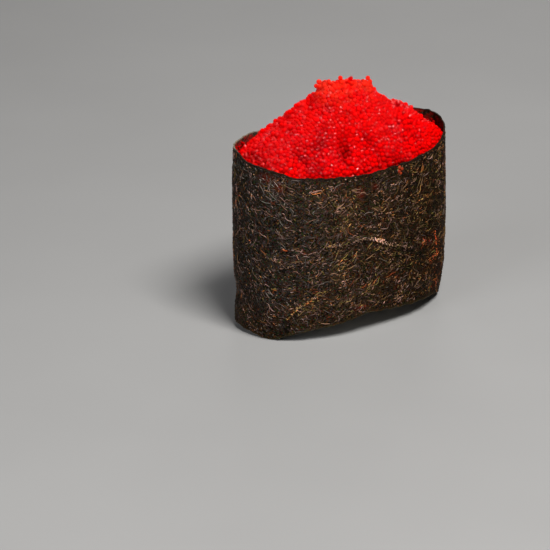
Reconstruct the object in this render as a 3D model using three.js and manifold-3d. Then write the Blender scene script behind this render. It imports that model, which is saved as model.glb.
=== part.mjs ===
// Gunkan sushi: an upright oval band of nori round a block of rice, heaped with fine roe.
// Millimetres, +Z up, +X along the length. The band stands on the corners of its lower edge,
// and the rice is held a little above the table.

import * as THREE from 'three';
import Module from 'manifold-3d';

const wasm = await Module();
wasm.setup();

// Driving dimensions
const length = 48.2;
const width = 27.6;
const ovalPower = 2.37; // 2 gives an ellipse, more gives squarer corners
const noriThickness = 0.5;
const lapThickness = 0.35; // how far the band's outer end stands out where it laps the inner end
const gap = 0.3; // clearance kept between two neighbouring solids
const meanRimHeight = 37.8;
const footLift = 4.1; // how high the lower edge arches in the middle of the front
const riceTop = 23.0;
const riceUnderside = 4.9; // level of the packed rice, with single grains standing below it
const roeGrain = 1.3; // spacing of the roe's grains, as modelled
const looseGrains = 40;
const riceGrains = 34;

// How finely the solids are split
const bandColumns = 76;
const bandRows = 10;
const plugColumns = 42;
const plugRowHeight = 8;

const halfLength = length / 2;
const halfWidth = width / 2;
const fullTurn = 2 * Math.PI;
const degree = Math.PI / 180;

// Seeded random numbers from 0 to 1, so that every build is the same.
function makeRandom(seed) {
  let state = seed;
  return () => {
    state = (state + 0x6d2b79f5) | 0;
    let mixed = Math.imul(state ^ (state >>> 15), 1 | state);
    mixed = (mixed + Math.imul(mixed ^ (mixed >>> 7), 61 | mixed)) ^ mixed;
    return ((mixed ^ (mixed >>> 14)) >>> 0) / 4294967296;
  };
}

// 1 at the centre and 0 beyond the reach, with a smooth fall.
function bump(distance, reach) {
  const share = Math.min(Math.abs(distance) / reach, 1);
  return (1 + Math.cos(Math.PI * share)) / 2;
}

// The difference between two angles, from -180 to 180 degrees.
function angleBetween(a, b) {
  return ((((a - b) % 360) + 540) % 360) - 180;
}

// ---- The nori band's form ----

// Angles run anticlockwise from +X, in degrees. 270 is the middle of the front.
const footArches = [
  { from: 200, to: 340, height: footLift, power: 1.1 },
  { from: 350, to: 394, height: 0.9, power: 1 },
  { from: 44, to: 128, height: 2.6, power: 1.2 },
  { from: 143, to: 190, height: 1.3, power: 1 },
];

// The upper edge is higher at the back than at the front, and higher at both ends.
const rimRise = { right: 0.2, back: 1.9, ends: 1.0 };
const rimWaves = [
  { round: 9, height: 0.14, phase: 1 },
  { round: 17, height: 0.1, phase: 2 },
];

// Height of the band's upper edge.
function rimHeight(angle) {
  const t = angle * degree;
  let height = meanRimHeight + rimRise.right * Math.cos(t) + rimRise.back * Math.sin(t);
  height += rimRise.ends * Math.cos(2 * t);
  for (const wave of rimWaves) height += wave.height * Math.sin(wave.round * t + wave.phase);
  return height;
}

// Height of the band's lower edge, which arches up between the corners it stands on.
function footHeight(angle) {
  let height = 0;
  for (const arch of footArches) {
    const middle = (arch.from + arch.to) / 2;
    const share = Math.abs(angleBetween(angle, middle)) / ((arch.to - arch.from) / 2);
    if (share < 1) height = arch.height * Math.cos((Math.PI / 2) * share) ** arch.power;
  }
  return height;
}

// Broad waves pressed into the band by hand: turns round it, turns up it, depth and phase.
const bandWaves = [
  { round: 3, up: 1, depth: 0.22, phase: 0.4 },
  { round: 5, up: 2, depth: 0.16, phase: 2.1 },
  { round: 8, up: -1, depth: 0.12, phase: 4.0 },
  { round: 11, up: 3, depth: 0.08, phase: 1.2 },
];

// Where the band's outer end lies over its inner end, at the back.
const lap = { edge: 104, fade: 62 };

// The foot is drawn in all round, less so at the left end and more at the front left corner.
const footTuck = { depth: 1.3, fadeHeight: 3 };
const footTuckChanges = [
  { angle: 160, reach: 45, depth: -0.9 },
  { angle: 215, reach: 42, depth: 0.9 },
];
const belly = 0.35;
const endDent = { angle: 155, angleReach: 40, z: 8, zReach: 5, depth: 0.9 };
const endSwell = { angle: 155, reach: 50, rise: 0.5 };

// How far the band's outer face stands outside the plain oval.
function bandRelief(angle, z) {
  const t = angle * degree;
  const up = THREE.MathUtils.clamp(z / meanRimHeight, 0, 1);
  let tuck = footTuck.depth;
  for (const change of footTuckChanges) {
    tuck += change.depth * bump(angleBetween(angle, change.angle), change.reach);
  }
  let relief = belly * Math.sin(Math.PI * up) - tuck * Math.exp(-z / footTuck.fadeHeight);
  relief -= endDent.depth * bump(angleBetween(angle, endDent.angle), endDent.angleReach)
    * bump(z - endDent.z, endDent.zReach);
  relief += endSwell.rise * bump(angleBetween(angle, endSwell.angle), endSwell.reach);
  for (const wave of bandWaves) {
    relief += wave.depth * Math.sin(wave.round * t + wave.up * Math.PI * up + wave.phase);
  }
  return relief;
}

// How much thicker the band is where its outer end laps the inner one.
function lapRelief(angle) {
  const behind = angleBetween(lap.edge, angle);
  return behind < 0 ? 0 : lapThickness * bump(behind, lap.fade);
}

// A point of the plain oval at an angle of the curve, moved out along its normal.
function ovalPoint(angle, outwards) {
  const c = Math.cos(angle * degree);
  const s = Math.sin(angle * degree);
  const x = halfLength * Math.sign(c) * Math.abs(c) ** (2 / ovalPower);
  const y = halfWidth * Math.sign(s) * Math.abs(s) ** (2 / ovalPower);
  const normal = new THREE.Vector2(
    (Math.sign(c) * Math.abs(c) ** (2 - 2 / ovalPower)) / halfLength,
    (Math.sign(s) * Math.abs(s) ** (2 - 2 / ovalPower)) / halfWidth,
  ).normalize();
  return new THREE.Vector2(x, y).addScaledVector(normal, outwards);
}

function wallPoint(angle, z, outwards) {
  const flat = ovalPoint(angle, bandRelief(angle, z) + outwards);
  return new THREE.Vector3(flat.x, flat.y, z);
}

function evenAngles(count) {
  return Array.from({ length: count }, (_, column) => (360 * column) / count);
}

// The angles of the band's columns, with two more for the step at the lap's edge.
function bandAngles() {
  const angles = [...evenAngles(bandColumns), lap.edge - 0.2, lap.edge + 0.4];
  return angles.sort((a, b) => a - b);
}

// ---- Meshes ----

class Builder {
  constructor() {
    this.points = [];
    this.faces = [];
  }

  addPoint(point) {
    this.points.push(point.x, point.y, point.z);
    return this.points.length / 3 - 1;
  }

  addQuad(a, b, c, d) {
    this.faces.push(a, b, c, a, c, d);
  }

  // A strip of quads between two closed loops of equal length.
  addBelt(lower, upper) {
    for (let i = 0; i < lower.length; i += 1) {
      const next = (i + 1) % lower.length;
      this.addQuad(lower[i], lower[next], upper[next], upper[i]);
    }
  }

  solid() {
    return new wasm.Manifold(new wasm.Mesh({
      numProp: 3,
      vertProperties: new Float32Array(this.points),
      triVerts: new Uint32Array(this.faces),
    }));
  }

  geometry() {
    const geometry = new THREE.BufferGeometry();
    geometry.setAttribute('position', new THREE.Float32BufferAttribute(this.points, 3));
    geometry.setIndex(this.faces);
    geometry.computeVertexNormals();
    return geometry;
  }
}

function geometryOf(solid) {
  const mesh = solid.getMesh();
  const builder = new Builder();
  for (let i = 0; i < mesh.vertProperties.length; i += mesh.numProp) {
    builder.points.push(...mesh.vertProperties.subarray(i, i + 3));
  }
  builder.faces = Array.from(mesh.triVerts);
  return builder.geometry();
}

// The band: an outer and an inner face of the same rows and columns, joined at both edges.
function makeBand() {
  const builder = new Builder();
  const angles = bandAngles();
  const rowsOf = (thickness) => {
    const rows = [];
    for (let row = 0; row <= bandRows; row += 1) {
      rows.push(angles.map((angle) => {
        const foot = footHeight(angle);
        const z = foot + ((rimHeight(angle) - foot) * row) / bandRows;
        const outwards = thickness > 0 ? -thickness : lapRelief(angle);
        return builder.addPoint(wallPoint(angle, z, outwards));
      }));
    }
    return rows;
  };
  const outer = rowsOf(0); // of no thickness, so it carries the lap
  const inner = rowsOf(noriThickness);
  for (let row = 0; row < bandRows; row += 1) {
    builder.addBelt(outer[row], outer[row + 1]);
    builder.addBelt([...inner[row]].reverse(), [...inner[row + 1]].reverse());
  }
  builder.addBelt(outer[bandRows], inner[bandRows]);
  builder.addBelt(inner[0], outer[0]);
  return builder.geometry();
}

// What fills the band between two levels, clear of its inner face by a margin.
function makePlug(bottom, top, margin = gap) {
  const builder = new Builder();
  const angles = evenAngles(plugColumns);
  const loops = [];
  const plugRows = Math.ceil((top - bottom) / plugRowHeight);
  for (let row = 0; row <= plugRows; row += 1) {
    const z = bottom + ((top - bottom) * row) / plugRows;
    loops.push(angles.map((angle) => (
      builder.addPoint(wallPoint(angle, z, -noriThickness - margin))
    )));
  }
  for (let row = 0; row < plugRows; row += 1) builder.addBelt(loops[row], loops[row + 1]);
  const floorCentre = builder.addPoint(new THREE.Vector3(0, 0, bottom));
  const roofCentre = builder.addPoint(new THREE.Vector3(0, 0, top));
  for (let i = 0; i < angles.length; i += 1) {
    const next = (i + 1) % angles.length;
    builder.faces.push(floorCentre, loops[0][next], loops[0][i]);
    builder.faces.push(roofCentre, loops[plugRows][i], loops[plugRows][next]);
  }
  return builder.solid();
}

// ---- The roe ----

// Height of the heap's crest along the length.
const crest = new THREE.SplineCurve([
  new THREE.Vector2(-24.5, 36.4),
  new THREE.Vector2(-18.5, 41.0),
  new THREE.Vector2(-13.5, 44.0),
  new THREE.Vector2(-10.5, 46.7),
  new THREE.Vector2(-8.2, 48.2),
  new THREE.Vector2(-6.7, 48.9),
  new THREE.Vector2(-5.4, 50.3),
  new THREE.Vector2(-3, 50.9),
  new THREE.Vector2(0, 51.1),
  new THREE.Vector2(3.5, 50.9),
  new THREE.Vector2(6.5, 49.8),
  new THREE.Vector2(8.2, 47.9),
  new THREE.Vector2(9.8, 45.5),
  new THREE.Vector2(12.0, 43.7),
  new THREE.Vector2(14.0, 43.1),
  new THREE.Vector2(16.5, 42.5),
  new THREE.Vector2(20, 39.6),
  new THREE.Vector2(24.5, 36.7),
]);
const crestSamples = crest.getPoints(240);
// 1 gives a straight flank, 2 gives a round one
const frontFlankPower = 1.7;
const backFlankPower = 1.25;

// How far below the rim the roe meets the nori: all round, and more near some angles.
const levelDrop = 0.5;
const levelDrops = [
  { angle: 160, reach: 50, drop: 1.6 },
  { angle: 18, reach: 50, drop: 2.6 },
];

// Hollows between the spoonfuls, and the lumps beside them.
const clumps = [
  { x: -6.5, y: -9.5, reach: 3.4, rise: -1.1 },
  { x: -14.5, y: -7.5, reach: 3.0, rise: -0.8 },
  { x: 1.5, y: -8.5, reach: 4.0, rise: 0.7 },
  { x: -10.5, y: -5.0, reach: 4.2, rise: 0.8 },
  { x: 7.5, y: -7.0, reach: 3.0, rise: -0.8 },
  { x: 12.5, y: -5.5, reach: 4.0, rise: 0.9 },
  { x: 17.0, y: 2.0, reach: 3.6, rise: 0.6 },
  { x: -2.0, y: 6.0, reach: 4.5, rise: 0.8 },
  { x: -11.0, y: 6.5, reach: 3.8, rise: -0.8 },
  { x: 8.0, y: 6.5, reach: 4.0, rise: -0.9 },
  { x: -17.0, y: 3.0, reach: 3.5, rise: 0.6 },
  { x: 13.5, y: 5.5, reach: 3.4, rise: 0.7 },
];

function crestHeight(x) {
  const after = crestSamples.findIndex((sample) => sample.x >= x);
  if (after <= 0) return crestSamples[after < 0 ? crestSamples.length - 1 : 0].y;
  const a = crestSamples[after - 1];
  const b = crestSamples[after];
  return THREE.MathUtils.mapLinear(x, a.x, b.x, a.y, b.y);
}

function edgeLevel(angle) {
  let level = rimHeight(angle) - levelDrop;
  for (const place of levelDrops) {
    level -= place.drop * bump(angleBetween(angle, place.angle), place.reach);
  }
  return level;
}

// Height of the heap's mean surface over a point of the plan.
function heapHeight(x, y) {
  const across = Math.min(Math.abs(x) / halfLength, 0.999);
  const halfHere = halfWidth * (1 - across ** ovalPower) ** (1 / ovalPower);
  const angle = Math.atan2(
    Math.sign(y) * (Math.abs(y) / halfWidth) ** (ovalPower / 2),
    Math.sign(x) * (Math.abs(x) / halfLength) ** (ovalPower / 2),
  ) / degree;
  const power = y < 0 ? frontFlankPower : backFlankPower;
  const flank = Math.min(Math.abs(y) / halfHere, 1) ** power;
  let height = THREE.MathUtils.lerp(crestHeight(x), edgeLevel(angle), flank);
  for (const clump of clumps) {
    height += clump.rise * bump(Math.hypot(x - clump.x, y - clump.y), clump.reach);
  }
  return height;
}

function heapNormal(x, y) {
  const step = 0.3;
  const slopeX = (heapHeight(x + step, y) - heapHeight(x - step, y)) / (2 * step);
  const slopeY = (heapHeight(x, y + step) - heapHeight(x, y - step)) / (2 * step);
  return new THREE.Vector3(-slopeX, -slopeY, 1).normalize();
}

// How high a grain's top stands over the mean surface, how deep the hollows between grains
// are, and how far each point strays, in steps of the net.
const grainRelief = { top: 0.32, topSpread: 0.16, hollow: 0.14, stray: 0.3 };

// A block whose top is the heap's surface. The points of a triangular net are raised one in
// three, so that each raised point and the six round it make one grain.
function makeGrainyBlock(bottom) {
  const random = makeRandom(7);
  const builder = new Builder();
  const step = roeGrain / Math.sqrt(3);
  const rowStep = step * 0.69; // closer than even, because most of the heap slopes this way
  const stray = () => (random() - 0.5) * grainRelief.stray;
  const columns = Math.ceil(length / 2 / step) + 1;
  const rows = Math.ceil(width / 2 / rowStep) + 1;
  const grid = [];
  for (let j = -rows; j <= rows; j += 1) {
    const line = [];
    for (let i = -columns; i <= columns; i += 1) {
      const half = Math.floor(j / 2);
      const x = (i + j / 2 - half + stray()) * step;
      const y = (j + stray()) * rowStep;
      const isTop = (((i - half - j) % 3) + 3) % 3 === 0;
      const top = grainRelief.top + grainRelief.topSpread * random();
      const relief = isTop ? top : -grainRelief.hollow;
      const point = new THREE.Vector3(x, y, heapHeight(x, y));
      line.push(builder.addPoint(point.addScaledVector(heapNormal(x, y), relief)));
    }
    grid.push(line);
  }
  for (let j = 0; j + 1 < grid.length; j += 1) {
    const leaning = Math.abs(j - rows) % 2;
    for (let i = 0; i + 1 < grid[j].length; i += 1) {
      const [a, b] = [grid[j][i], grid[j][i + 1]];
      const [d, c] = [grid[j + 1][i], grid[j + 1][i + 1]];
      if (leaning) builder.faces.push(a, b, c, a, c, d);
      else builder.faces.push(a, b, d, b, c, d);
    }
  }
  const edge = [
    ...grid[0],
    ...grid.slice(1, -1).map((line) => line[line.length - 1]),
    ...[...grid[grid.length - 1]].reverse(),
    ...grid.slice(1, -1).reverse().map((line) => line[0]),
  ];
  const skirt = edge.map((index) => builder.addPoint(new THREE.Vector3(
    builder.points[3 * index],
    builder.points[3 * index + 1],
    bottom,
  )));
  builder.addBelt(skirt, edge);
  const centre = builder.addPoint(new THREE.Vector3(0, 0, bottom));
  for (let i = 0; i < skirt.length; i += 1) {
    builder.faces.push(centre, skirt[(i + 1) % skirt.length], skirt[i]);
  }
  return builder.solid();
}

// A closed ball of few faces, stretched and turned.
function makeGrain(place, size, turn, sides, rings) {
  const builder = new Builder();
  const matrix = new THREE.Matrix4().compose(
    place,
    new THREE.Quaternion().setFromEuler(turn),
    size.clone().multiplyScalar(0.5),
  );
  const pole = (z) => builder.addPoint(new THREE.Vector3(0, 0, z).applyMatrix4(matrix));
  const loops = [];
  for (let ring = 1; ring < rings; ring += 1) {
    const rise = Math.PI * (ring / rings - 0.5);
    const loop = [];
    for (let side = 0; side < sides; side += 1) {
      const t = (fullTurn * (side + ring / 2)) / sides;
      const point = new THREE.Vector3(
        Math.cos(t) * Math.cos(rise),
        Math.sin(t) * Math.cos(rise),
        Math.sin(rise),
      );
      loop.push(builder.addPoint(point.applyMatrix4(matrix)));
    }
    loops.push(loop);
  }
  for (let i = 0; i + 1 < loops.length; i += 1) builder.addBelt(loops[i], loops[i + 1]);
  const [bottom, top] = [pole(-1), pole(1)];
  for (let side = 0; side < sides; side += 1) {
    const next = (side + 1) % sides;
    builder.faces.push(bottom, loops[0][next], loops[0][side]);
    builder.faces.push(top, loops[loops.length - 1][side], loops[loops.length - 1][next]);
  }
  return builder.solid();
}

// A solid without the scraps that a join or a cut leaves beside it.
function largestPiece(solid) {
  return solid.decompose().reduce((best, piece) => (
    piece.volume() > best.volume() ? piece : best
  ));
}

function randomTurn(random) {
  return new THREE.Euler(fullTurn * random(), fullTurn * random(), fullTurn * random());
}

const looseRoe = { size: 0.85, sizeSpread: 0.3, rise: 0.3, edgeMargin: 4.2, sides: 5, rings: 3 };

// Single grains that stand out of the heap, most of them near its crest.
function makeLooseRoe() {
  const random = makeRandom(21);
  const grains = [];
  const [lowest, highest] = [rimHeight(270), crestHeight(0)];
  while (grains.length < looseGrains) {
    const x = (random() - 0.5) * (length - 2 * looseRoe.edgeMargin);
    const y = (random() - 0.5) * (width - 2 * looseRoe.edgeMargin);
    const height = heapHeight(x, y);
    if (random() < (height - lowest) / (highest - lowest)) {
      const place = new THREE.Vector3(x, y, height);
      place.addScaledVector(heapNormal(x, y), looseRoe.rise);
      const across = looseRoe.size + looseRoe.sizeSpread * random();
      const size = new THREE.Vector3(across, across, across);
      grains.push(makeGrain(place, size, randomTurn(random), looseRoe.sides, looseRoe.rings));
    }
  }
  return grains;
}

function makeRoe() {
  const bottom = riceTop + gap;
  const overCrest = crestHeight(0) + 4;
  const plug = makePlug(bottom, overCrest);
  const block = makeGrainyBlock(bottom - 1);
  const core = plug.intersect(block);
  return largestPiece(wasm.Manifold.union([core, ...makeLooseRoe()]));
}

// ---- The rice ----

const riceGrain = { length: 5.4, width: 2.5, height: 2, longer: 1.2, wider: 0.3, lean: 0.1 };
const riceSpread = { apart: 3.6, reach: 0.88, tries: 4000, rise: 0.25 };

// Cooked grains on the underside, laid flat at random angles.
function makeUnderGrains() {
  const random = makeRandom(5);
  const grains = [];
  const places = [];
  for (let tries = 0; tries < riceSpread.tries && grains.length < riceGrains; tries += 1) {
    const reach = Math.sqrt(random()) * riceSpread.reach;
    const flat = ovalPoint(360 * random(), 0).multiplyScalar(reach);
    if (places.every((other) => other.distanceTo(flat) > riceSpread.apart)) {
      places.push(flat);
      const height = riceUnderside + riceSpread.rise * random();
      const size = new THREE.Vector3(
        riceGrain.length + riceGrain.longer * random(),
        riceGrain.width + riceGrain.wider * random(),
        riceGrain.height,
      );
      const lean = riceGrain.lean * (2 * random() - 1);
      const turn = new THREE.Euler(0, lean, Math.PI * random());
      grains.push(makeGrain(new THREE.Vector3(flat.x, flat.y, height), size, turn, 6, 4));
    }
  }
  return grains;
}

function makeRice() {
  const core = makePlug(riceUnderside, riceTop, 2 * gap);
  const room = makePlug(riceUnderside - riceGrain.height, riceTop + 1);
  return largestPiece(wasm.Manifold.union([core, ...makeUnderGrains()]).intersect(room));
}

// ---- The finished group ----

const nori = new THREE.Mesh(
  makeBand(),
  new THREE.MeshStandardMaterial({ color: 0x24261c, roughness: 0.62, metalness: 0 }),
);
nori.name = 'nori_band';

const roe = new THREE.Mesh(
  geometryOf(makeRoe()),
  new THREE.MeshStandardMaterial({ color: 0xe31a0c, roughness: 0.25, metalness: 0 }),
);
roe.name = 'roe_heap';

const rice = new THREE.Mesh(
  geometryOf(makeRice()),
  new THREE.MeshStandardMaterial({ color: 0xefe9dc, roughness: 0.5, metalness: 0 }),
);
rice.name = 'rice_core';

const group = new THREE.Group();
group.add(nori, roe, rice);

// The origin is the middle of the underside of the whole.
const box = new THREE.Box3().setFromObject(group);
const middle = box.getCenter(new THREE.Vector3());
group.position.set(-middle.x, -middle.y, -box.min.z);

export default group;
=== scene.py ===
import math

import bmesh
import bpy
import numpy as np
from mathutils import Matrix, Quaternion, Vector, noise
from mathutils.bvhtree import BVHTree


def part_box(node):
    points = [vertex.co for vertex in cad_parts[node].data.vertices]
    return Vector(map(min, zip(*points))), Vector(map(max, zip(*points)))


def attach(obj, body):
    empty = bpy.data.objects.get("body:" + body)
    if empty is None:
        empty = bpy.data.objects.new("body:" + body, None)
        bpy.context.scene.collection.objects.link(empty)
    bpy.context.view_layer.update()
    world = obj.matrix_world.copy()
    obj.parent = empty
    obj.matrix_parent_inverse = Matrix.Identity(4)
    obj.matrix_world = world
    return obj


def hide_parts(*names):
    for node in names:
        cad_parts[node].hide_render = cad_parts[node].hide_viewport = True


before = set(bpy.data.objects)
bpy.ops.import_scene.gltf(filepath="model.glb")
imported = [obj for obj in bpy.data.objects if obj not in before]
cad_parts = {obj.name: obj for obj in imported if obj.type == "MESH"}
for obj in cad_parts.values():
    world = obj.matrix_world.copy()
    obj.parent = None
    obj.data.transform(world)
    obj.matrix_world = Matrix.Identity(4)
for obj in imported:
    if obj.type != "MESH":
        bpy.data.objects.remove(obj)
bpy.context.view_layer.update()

mm = 0.001
farAway = 1e9
tiny = 1e-9               # keeps a length or a count from being 0 where it divides


def deselectAll():
    if bpy.context.object and bpy.context.object.mode != "OBJECT":
        bpy.ops.object.mode_set(mode="OBJECT")
    bpy.ops.object.select_all(action="DESELECT")


def addPrimitive(name, operator, **settings):
    deselectAll()
    operator(**settings)
    piece = bpy.context.object
    piece.name = name
    piece.data.name = name
    return piece


def addBall(name, segments, rings, radius=1):
    ball = bpy.ops.mesh.primitive_uv_sphere_add
    return addPrimitive(name, ball, segments=segments, ring_count=rings, radius=radius)


def placeObject(name, data):
    made = bpy.data.objects.new(name, data)
    bpy.context.scene.collection.objects.link(made)
    return made


def turnTo(made, aim, roll=0.0):  # points a light or a camera at a place
    toward = (Vector(aim) - made.location).to_track_quat("-Z", "Y")
    made.rotation_euler = (toward @ Quaternion((0, 0, 1), roll)).to_euler()


def selectOnly(piece):
    deselectAll()
    piece.select_set(True)
    bpy.context.view_layer.objects.active = piece


def pointsOf(mesh):
    flat = np.zeros(len(mesh.vertices) * 3)
    mesh.vertices.foreach_get("co", flat)
    return flat.reshape(-1, 3)


def packed(values):
    return np.ascontiguousarray(values, dtype=np.float32).ravel()


def setPoints(mesh, points):
    mesh.vertices.foreach_set("co", packed(points))
    mesh.update()


def paintPoints(mesh, name, values):
    layer = mesh.attributes.new(name, "FLOAT", "POINT")
    layer.data.foreach_set("value", packed(values))


def inEditMode(piece, operator, **settings):  # runs an operator on the whole of a piece
    selectOnly(piece)
    bpy.ops.object.mode_set(mode="EDIT")
    bpy.ops.mesh.select_all(action="SELECT")
    operator(**settings)
    bpy.ops.object.mode_set(mode="OBJECT")


def shapeOf(pattern):  # a pattern's points and triangles; the pattern itself goes
    points = pointsOf(pattern.data)
    faces = np.array([list(face.vertices) for face in pattern.data.polygons])
    bpy.data.objects.remove(pattern)
    return points, faces


def joinCopies(name, points, faces, count):  # one piece of many copies that share one list of faces
    points = points.reshape(-1, 3)
    starts = np.arange(count) * (len(points) // count)
    faces = (faces[None] + starts[:, None, None]).reshape(-1, 3)
    mesh = bpy.data.meshes.new(name)
    mesh.from_pydata(points, [], faces)
    mesh.validate()
    mesh.polygons.foreach_set("use_smooth", np.ones(len(faces), dtype=bool))
    return placeObject(name, mesh)


def surfaceOf(mesh):  # a search tree over a merged copy of a mesh
    sketch = bmesh.new()
    sketch.from_mesh(mesh)
    bmesh.ops.remove_doubles(sketch, verts=sketch.verts, dist=1e-6)
    bmesh.ops.recalc_face_normals(sketch, faces=sketch.faces)
    tree = BVHTree.FromBMesh(sketch)
    sketch.free()
    return tree


def cloudAt(points, size, shift=0.0):  # smooth noise, about -1 to 1, with lumps of that size
    apart = Vector((shift, shift * 1.7, -shift))
    return np.array([noise.noise(Vector(p) / size + apart) for p in points])


def blurAlong(values, axis, sigma, wraps=False):
    reach = max(1, int(sigma * 3))
    weights = np.exp(-0.5 * (np.arange(-reach, reach + 1) / sigma) ** 2)
    weights /= weights.sum()
    padding = [(0, 0)] * values.ndim
    padding[axis] = (reach, reach)
    wide = np.pad(values, padding, mode="wrap" if wraps else "edge")
    return np.apply_along_axis(lambda row: np.convolve(row, weights, mode="valid"), axis, wide)


def blurBoth(values, first, second):
    return blurAlong(blurAlong(values, 0, first), 1, second)


def smoothStep(values, low, high):
    share = np.clip((values - low) / (high - low), 0, 1)
    return share * share * (3 - 2 * share)


class Wire:  # a socket that can be used in sums
    def __init__(self, recipe, socket):
        self.recipe = recipe
        self.socket = socket

    def sum(self, operation, first, second=0.0):
        return self.recipe.node("ShaderNodeMath", {"operation": operation}, {0: first, 1: second})

    def __abs__(self):
        return self.sum("ABSOLUTE", self)

    def orLess(self, other):
        return self.sum("MINIMUM", self, other)

    def within(self, low, high):  # 0 below low, 1 above high, smooth between
        settings = {"interpolation_type": "SMOOTHSTEP"}
        return self.recipe.node("ShaderNodeMapRange", settings, {0: self, 1: low, 2: high})


for sign, operation in (("add", "ADD"), ("sub", "SUBTRACT"), ("mul", "MULTIPLY")):
    setattr(Wire, f"__{sign}__", lambda self, other, way=operation: self.sum(way, self, other))
    setattr(Wire, f"__r{sign}__", lambda self, other, way=operation: self.sum(way, other, self))


class Recipe:
    def __init__(self, name):
        self.material = bpy.data.materials.new(name)
        self.material.use_nodes = True
        self.tree = self.material.node_tree
        self.tree.nodes.clear()

    def node(self, kind, settings=None, inputs=None, output=0):
        made = self.tree.nodes.new(kind)
        for key, value in (settings or {}).items():
            if key == "stops":
                stops = made.color_ramp.elements
                while len(stops) < len(value):
                    stops.new(0.5)
                for stop, (place, colour) in zip(list(stops), value):
                    stop.position = place
                    stop.color = (*colour, 1)
            else:
                setattr(made, key, value)
        for key, value in (inputs or {}).items():
            if isinstance(value, Wire):
                self.tree.links.new(value.socket, made.inputs[key])
            elif isinstance(value, tuple) and made.inputs[key].type == "RGBA":
                made.inputs[key].default_value = (*value, 1)
            else:
                made.inputs[key].default_value = value
        return Wire(self, made.outputs[output]) if len(made.outputs) else None

    def objectPlace(self):
        return self.node("ShaderNodeTexCoord", output="Object")

    def attribute(self, name):
        return self.node("ShaderNodeAttribute", {"attribute_name": name}, output="Fac")

    def moved(self, place, by):
        return self.node("ShaderNodeMapping", {}, {"Vector": place, "Location": by})

    def cloud(self, place, size, detail=2.0, rough=0.5, output=0):
        inputs = {"Vector": place, "Scale": 1 / size, "Detail": detail, "Roughness": rough}
        return self.node("ShaderNodeTexNoise", {}, inputs, output)

    def ramp(self, share, stops):
        return self.node("ShaderNodeValToRGB", {"stops": stops}, {"Fac": share})

    def tinted(self, share, colour, tint):
        return self.mix(share, colour, self.mix(1.0, colour, tint, "MULTIPLY"))

    def mix(self, share, first, second, blend="MIX"):
        settings = {"data_type": "RGBA", "blend_type": blend}
        return self.node("ShaderNodeMix", settings, {0: share, 6: first, 7: second}, 2)

    def warp(self, place, size, reach):  # the place, pushed about by noise
        cloud = self.cloud(place, size, 1.0, output=1)
        centred = self.vector("SUBTRACT", {0: cloud, 1: (0.5, 0.5, 0.5)})
        push = self.vector("SCALE", {0: centred, "Scale": reach * 2})
        return self.vector("ADD", {0: place, 1: push})

    def vector(self, operation, inputs):
        return self.node("ShaderNodeVectorMath", {"operation": operation}, inputs)

    def bump(self, height, depth, strength=1.0):
        inputs = {"Height": height, "Distance": depth, "Strength": strength}
        return self.node("ShaderNodeBump", {}, inputs)

    def finish(self, colour, roughness, normal=None, others=None):
        inputs = {"Base Color": colour, "Roughness": roughness, **(others or {})}
        if normal is not None:
            inputs["Normal"] = normal
        shader = self.node("ShaderNodeBsdfPrincipled", {}, inputs)
        self.node("ShaderNodeOutputMaterial", {}, {"Surface": shader})
        return self.material


def giveMaterial(piece, material):
    piece.data.materials.clear()
    piece.data.materials.append(material)


wrapLook = {
    "columns": 424,
    "rows": 108,
    "thickness": 0.3 * mm,
    "ovalLength": 48.2 * mm,
    "ovalWidth": 27.6 * mm,
    "ovalPower": 2.37,
    "lapEdge": 104,           # degrees round the oval, where the outer end shows
    "overlap": 12 * mm,
    "lapGap": 0.05 * mm,
    "innerEndDrop": 0.45 * mm,
    "riceDents": 0.10 * mm,
    "dentSize": 3.4 * mm,
    "wrinkles": 0.12 * mm,
    "wrinkleSize": 3.0 * mm,
    "warpSize": 2.4 * mm,     # the wrinkles are pushed about by noise of this size, this far
    "warpReach": 1.2 * mm,
    "fineRelief": 0.05 * mm,
    "fineSize": 0.75 * mm,
    "edgeNibbles": 0.20 * mm,
    "rimEdge": 0.15 * mm,     # how far the painted highlights along the cut edges reach onto the face
    "footEdge": 0.2 * mm,
    "soilAndLightSize": 1.3 * mm,
    "soilAndLightFrom": 26 * mm,      # the height from which the roe has soiled the inside, where its red film is painted lighter as painted light
    "smoothUnder": 50,        # degrees between faces
}

# Trim of the lower edge: distance along the front from its middle toward +X, and lift, in mm.
footTrim = [(-30, 0), (-22, 0.1), (-17, 0), (-11.5, -0.35), (-7.5, 0), (-4, 0.5), (-1, 0.1),
            (4, -0.45), (9, -0.6), (15, -0.2), (19, 0)]

# Trim of the rim, in the same way; past the right end the distances go on round the back.
rimTrim = [(29, 0), (33, -0.5), (37, -0.9), (42, -0.6), (50, 0)]

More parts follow.
